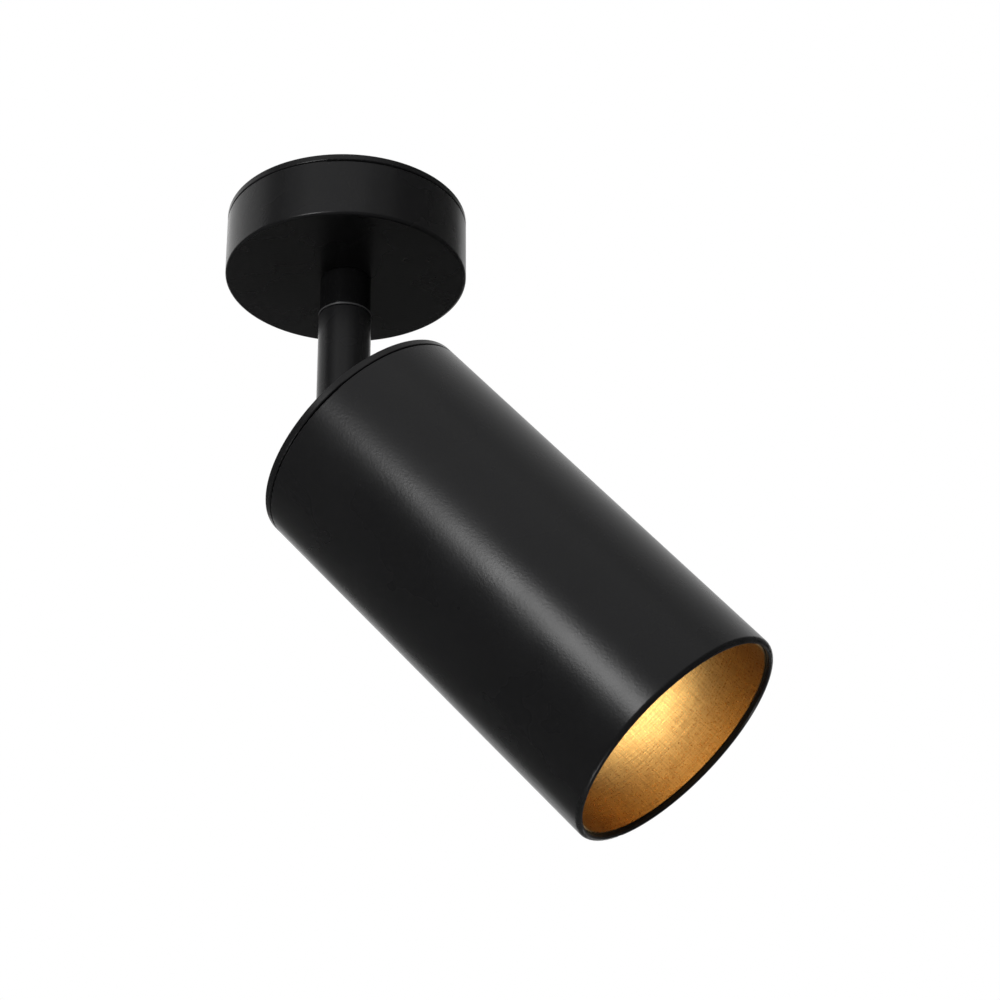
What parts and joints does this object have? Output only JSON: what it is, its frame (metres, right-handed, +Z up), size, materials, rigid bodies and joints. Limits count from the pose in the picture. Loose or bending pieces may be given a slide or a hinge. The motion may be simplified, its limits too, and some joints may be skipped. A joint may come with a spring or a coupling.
{
  "type": "ceiling spotlight",
  "caption": "Cylindrical ceiling spotlight on a round canopy, with a swivelling stem, a tilting head, a gold baffle at the mouth and a twist-lock reflector lamp inside.",
  "frame": {"origin": "centre of the ceiling face of the mounting plate, midway between its two screw slots", "axes": "+Z up into the ceiling; +X is the side that the head tilts towards at rest; the tilt axis lies along Y"},
  "size_m": [0.1304, 0.06, 0.1661],
  "materials": {
    "black_paint": "steel, satin black powder coat",
    "black_aluminium": "aluminium, satin black powder coat with fine orange peel",
    "gold_paint": "spun aluminium, gold lacquer with fine grain",
    "zinc_steel": "zinc plated",
    "black_steel": "black oxide",
    "terminal_brass": "plain brass",
    "block_nylon": "natural nylon",
    "black_nylon": "black nylon",
    "live_lead": "silicone insulation, brown",
    "neutral_lead": "silicone insulation, blue",
    "earth_lead": "silicone insulation, green and yellow",
    "lead_bends": "silicone insulation, brown and blue",
    "glass_sleeve": "braided glass fibre",
    "holder_ceramic": "unglazed steatite",
    "grey_silicone": "silicone",
    "lamp_white": "white moulded plastic",
    "lamp_glass": "frosted",
    "board_aluminium": "milled"
  },
  "bodies": {
    "canopy": {"mounting_plate": "black_paint", "canopy_cup": "black_aluminium", "side_screws": "black_steel", "terminal_block": "block_nylon", "terminal_tubes": "terminal_brass", "clamp_screws": "zinc_steel", "block_screws": "zinc_steel", "earth_screw": "terminal_brass", "swivel_bolt": "zinc_steel", "bolt_lock_washer": "zinc_steel", "bolt_nut": "terminal_brass", "collar": "black_aluminium", "swivel_washer": "black_nylon", "stop_pin": "zinc_steel", "canopy_live_lead": "live_lead", "canopy_neutral_lead": "neutral_lead", "canopy_earth_lead": "earth_lead"},
    "stem": {"stem_tube": "black_aluminium", "disc_spring": "zinc_steel", "stem_tongue": "black_aluminium", "stem_sleeve": "glass_sleeve", "stem_live_lead": "live_lead", "stem_neutral_lead": "neutral_lead", "knuckle_leads": "lead_bends"},
    "head": {"head_lug": "black_aluminium", "pivot_screw": "black_steel", "pivot_spring_washer": "zinc_steel", "friction_washer": "black_nylon", "lug_lock_washer": "zinc_steel", "lug_nut": "zinc_steel", "rear_cap": "black_aluminium", "head_tube": "black_aluminium", "holder_bracket": "zinc_steel", "bracket_screws": "zinc_steel", "lamp_holder": "holder_ceramic", "holder_contacts": "terminal_brass", "holder_screws": "zinc_steel", "head_live_lead": "live_lead", "head_neutral_lead": "neutral_lead"},
    "baffle": {"gold_baffle": "gold_paint", "grip_ring": "grey_silicone"},
    "lamp": {"lamp_shell": "lamp_white", "lamp_lens": "lamp_glass", "led_board": "board_aluminium", "lamp_base": "lamp_white", "lamp_pins": "terminal_brass"}
  },
  "joints": [
    {"name": "pan", "type": "hinge", "parent": "canopy", "child": "stem", "pos_m": [0, 0, -0.0282], "axis": [0, 0, 1], "range_deg": [-165, 165]},
    {"name": "tilt", "type": "hinge", "parent": "stem", "child": "head", "pos_m": [0, 0, -0.0571], "axis": [0, -1, 0], "range_deg": [-41.1, 48.9], "deforming": ["knuckle_leads"]},
    {"name": "baffle_pull", "type": "slide", "parent": "head", "child": "baffle", "axis": [0.6574, 0, -0.7536], "range_m": [0, 0.034]},
    {"name": "lamp_turn", "type": "hinge", "parent": "head", "child": "lamp", "pos_m": [0.02656, 0, -0.08754], "axis": [0.6574, 0, -0.7536], "range_deg": [0, 25]}
  ]
}
